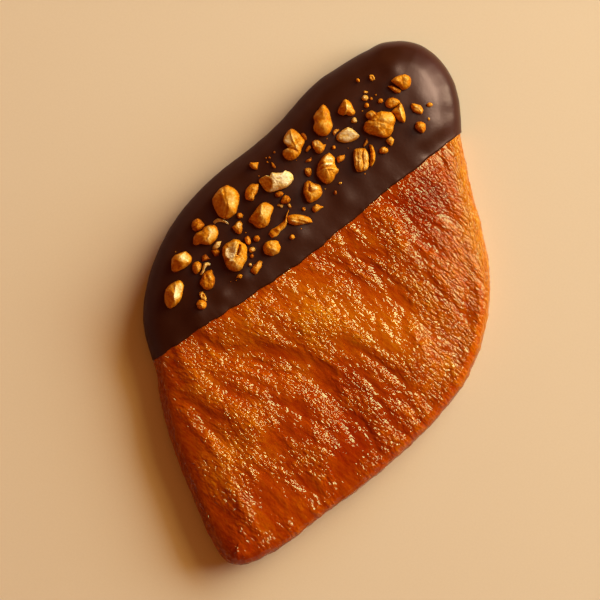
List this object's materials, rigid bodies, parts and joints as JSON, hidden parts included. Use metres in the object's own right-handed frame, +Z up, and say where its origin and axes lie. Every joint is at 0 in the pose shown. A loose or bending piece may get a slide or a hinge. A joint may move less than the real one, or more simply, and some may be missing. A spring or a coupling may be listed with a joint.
{
  "type": "flat croissant",
  "caption": "Pressed flat glazed croissant, diamond shaped, one flank dipped in dark chocolate and set with roasted nut pieces.",
  "frame": {"origin": "under the middle of the croissant's bounding box, on the surface it lies on", "axes": "+Y along the long axis from the narrow tip to the round dipped nose, +X to the right seen from above with the nose away from the viewer, +Z up out of the glazed face"},
  "size_m": [0.1145, 0.1876, 0.0189],
  "materials": {
    "pastry": "glazed flaky crust, golden to reddish brown, semi-gloss",
    "chocolate": "dark chocolate, satin",
    "nut": "roasted nut, satin skin with paler broken faces"
  },
  "bodies": {
    "root": {"pastry": "pastry", "chocolate": "chocolate", "nut_01": "nut", "nut_02": "nut", "nut_03": "nut", "nut_04": "nut", "nut_05": "nut", "nut_06": "nut", "nut_07": "nut", "nut_08": "nut", "nut_09": "nut", "nut_10": "nut", "nut_11": "nut", "nut_12": "nut", "nut_13": "nut", "nut_14": "nut", "nut_15": "nut", "nut_16": "nut", "nut_17": "nut", "nut_18": "nut", "nut_19": "nut", "nut_20": "nut", "nut_21": "nut", "nut_22": "nut", "nut_23": "nut", "nut_24": "nut", "nut_25": "nut", "nut_26": "nut", "nut_27": "nut"}
  },
  "joints": []
}
